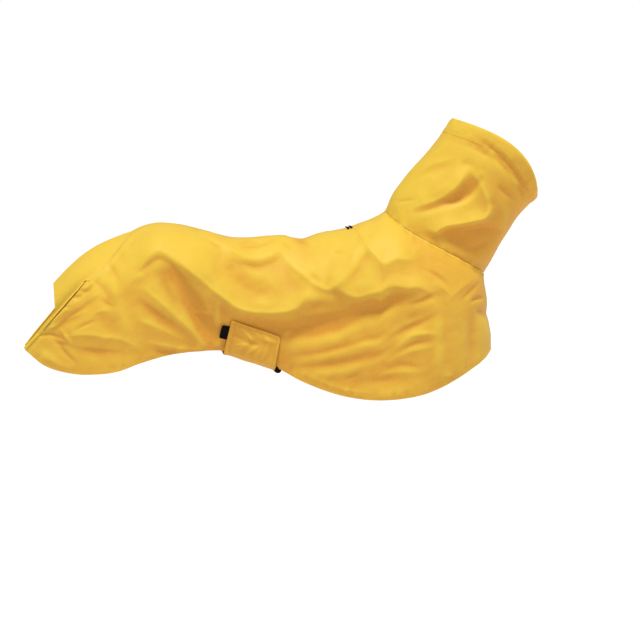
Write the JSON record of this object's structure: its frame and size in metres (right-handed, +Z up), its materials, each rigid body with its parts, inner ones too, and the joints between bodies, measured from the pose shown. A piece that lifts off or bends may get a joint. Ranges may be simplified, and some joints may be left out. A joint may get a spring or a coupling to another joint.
{
  "type": "dog raincoat",
  "caption": "Pull-on dog raincoat with a tall collar, a tail cover and a belly strap closed on the right side, in the form it has when worn.",
  "frame": {"origin": "inside of the cloth at the centre back, where the wearer's back carries the coat", "axes": "+X towards the wearer's head, +Z up, -Y the wearer's right side, where the strap closes"},
  "size_m": [0.7178, 0.1918, 0.3875],
  "materials": {
    "coat_cloth": "smooth coated rainwear cloth with a low sheen",
    "strap_cloth": "two layers of the coat's cloth, stitched",
    "black_label": "plain black woven label",
    "black_tape": "black woven tape"
  },
  "bodies": {
    "root": {"body_right": "coat_cloth", "body_left": "coat_cloth", "collar": "coat_cloth", "collar_rim_casing": "coat_cloth", "tail_cover": "coat_cloth", "belly_strap": "strap_cloth", "strap_label": "black_label", "strap_tab": "black_tape", "harness_slit_lip_rear": "black_tape", "harness_slit_lip_front": "black_tape", "rear_binding_right": "black_tape", "rear_binding_left": "black_tape"}
  },
  "joints": []
}
